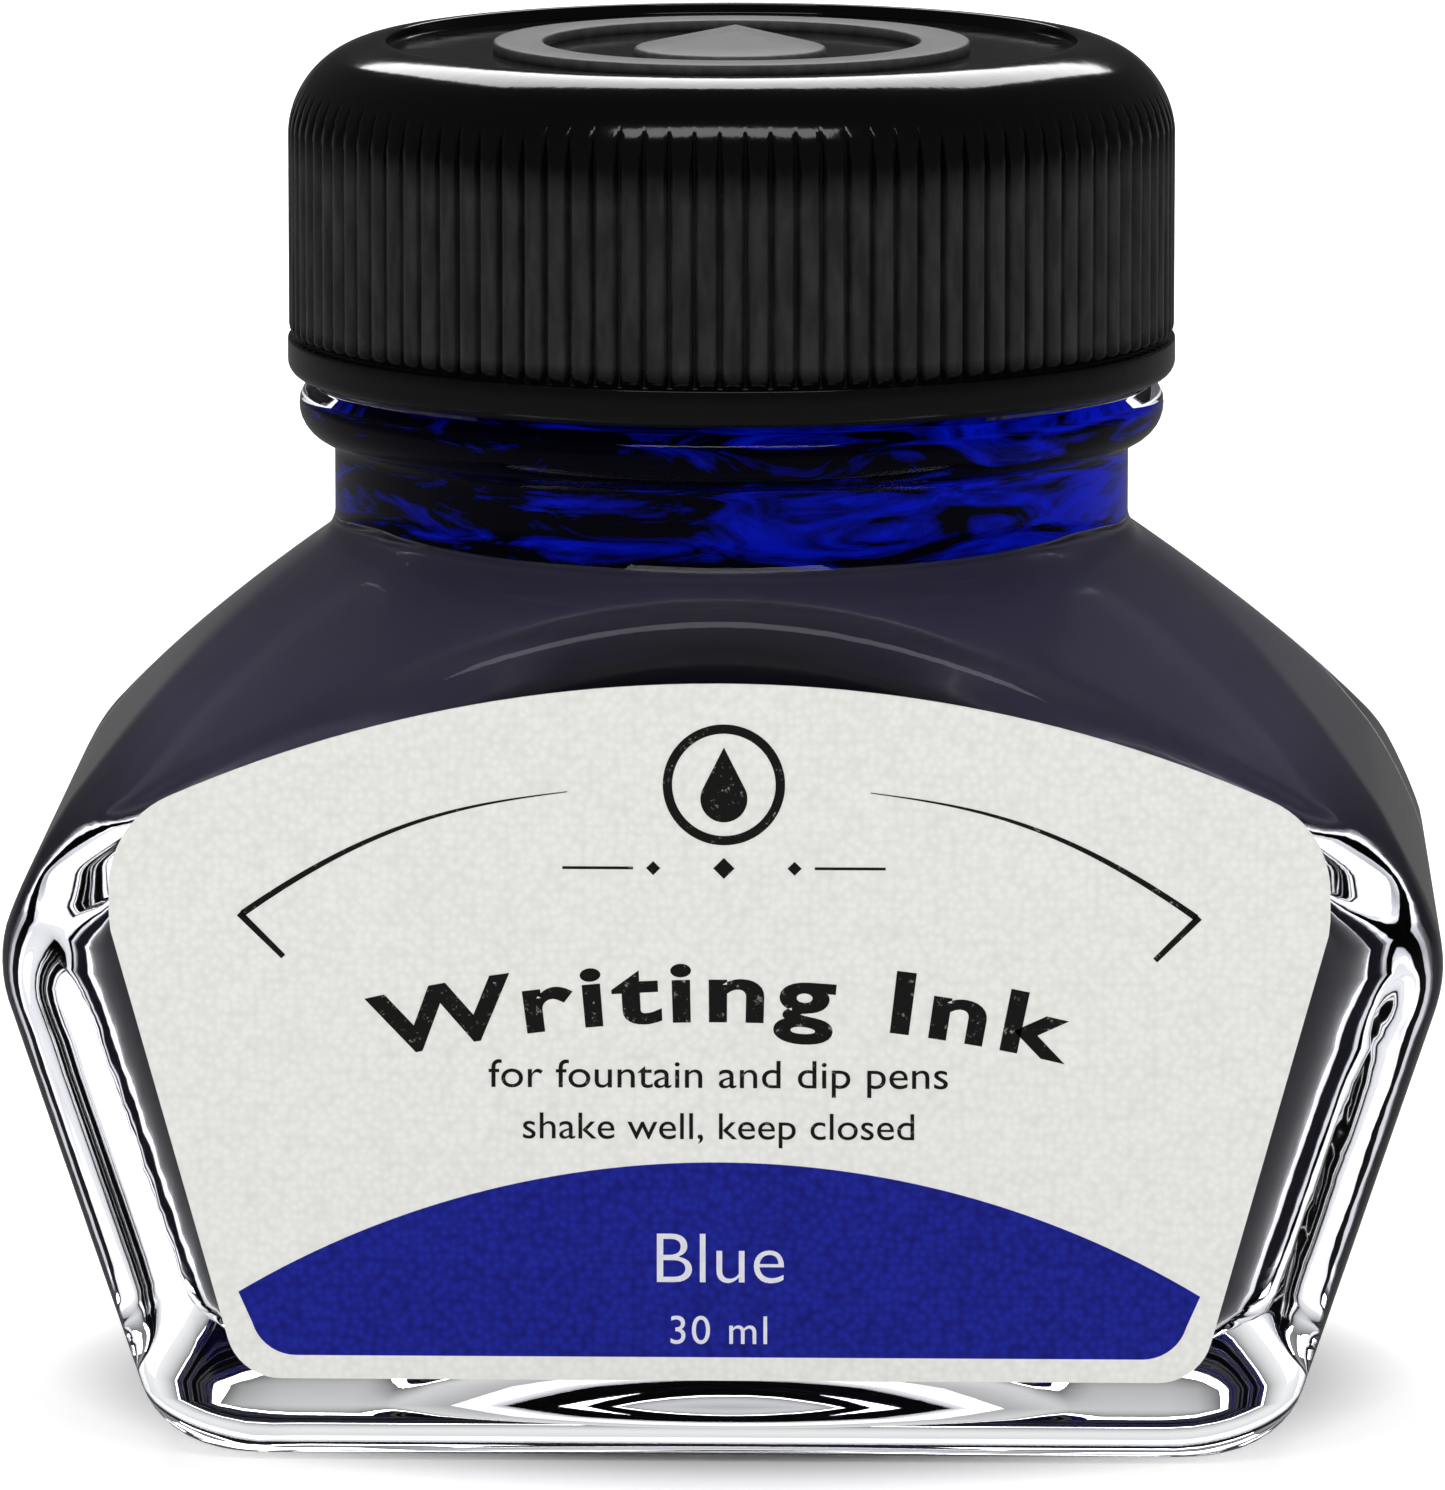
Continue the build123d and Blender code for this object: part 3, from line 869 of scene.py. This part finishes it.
def surrounding_wall():
    """A round wall, pale at its foot and darker above, that the thick glass gathers its greys from."""
    bpy.ops.object.select_all(action="DESELECT")
    bpy.ops.mesh.primitive_cylinder_add(
        vertices=96, radius=1.3, depth=1.2, end_fill_type="NOTHING", location=(0, 0, 0.6))
    sheet = bpy.context.object
    sheet.name = "studio_wall"
    grey = Finish("graded_wall", Roughness=0.9, Specular_IOR_Level=0.0)
    up = grey.axis(grey.place(), "Z")
    grey.feed(Base_Color=grey.blend(grey.noise(3.0, 2.0), (0.01, 0.01, 0.01, 1), (0.02, 0.02, 0.02, 1)))
    grey.feed(Emission_Color=grey.blend(
        grey.ramp(up, -0.6, 0.1), (0.95, 0.95, 0.95, 1), (0.10, 0.10, 0.10, 1)))
    grey.shader.inputs["Emission Strength"].default_value = 1.0
    sheet.data.materials.append(grey.material)
    return sheet


floor = backdrop()
wall = surrounding_wall()
for sheet in (floor, wall):
    # Kept out of the outer reflections, as black cards would
    sheet.visible_glossy = False


def softbox(name, at, towards, width, height, brightness, tint=(1.0, 1.0, 1.0)):
    light = bpy.data.lights.new(name, "AREA")
    light.shape = "RECTANGLE"
    light.size, light.size_y = width, height
    light.energy = brightness * math.pi * width * height
    light.color = tint
    lamp = bpy.data.objects.new(name, light)
    bpy.context.scene.collection.objects.link(lamp)
    lamp.location = at
    aim = (Vector(towards) - Vector(at)).normalized()
    lamp.rotation_euler = aim.to_track_quat("-Z", "Y").to_euler()
    return lamp


middle = (0.0, 0.0, 0.03)
for name, side in (("left_softbox", -1), ("right_softbox", 1)):
    # They light the paper, and stay out of the reflections in the glass and the cap
    lamp = softbox(name, (side * 0.50, -0.30, 0.20), middle, 0.45, 0.6, 0.9)
    lamp.visible_glossy = False
softbox("back_softbox", (0.0, 0.47, 0.42), middle, 0.44, 0.34, 4.8)
softbox("front_top_strip", (0.0, -0.34, 0.55), middle, 0.5, 0.12, 3.9)

world = bpy.data.worlds.new("studio")
bpy.context.scene.world = world
world.use_nodes = True
sky = world.node_tree
direction = sky.nodes.new("ShaderNodeTexCoord")
parts = sky.nodes.new("ShaderNodeSeparateXYZ")
sky.links.new(direction.outputs["Generated"], parts.inputs[0])
height = sky.nodes.new("ShaderNodeMapRange")
for slot, value in ((1, -0.08), (2, 0.06), (3, 0.13), (4, 0.045)):
    height.inputs[slot].default_value = value
sky.links.new(parts.outputs["Z"], height.inputs[0])
sky.links.new(height.outputs[0], sky.nodes["Background"].inputs["Strength"])
sky.nodes["Background"].inputs["Color"].default_value = (1, 1, 1, 1)

# ------------------------------------------------------------------------------------------- camera

yaw = math.radians(1.5)
eye = Vector((0.5244 * math.sin(yaw), -0.5244 * math.cos(yaw), 0.1106))
aim_at = Vector((-0.00037, 0.0, 0.02606))
camera_data = bpy.data.cameras.new("camera")
camera = bpy.data.objects.new("camera", camera_data)
bpy.context.scene.collection.objects.link(camera)
camera.location = eye
camera.rotation_euler = (aim_at - eye).to_track_quat("-Z", "Y").to_euler()
camera_data.lens = 312.9
camera_data.sensor_width = 36.0
camera_data.clip_start = 0.01
camera_data.clip_end = 20.0
bpy.context.scene.camera = camera

bpy.context.scene.view_settings.view_transform = "Standard"
bpy.context.scene.view_settings.look = "None"
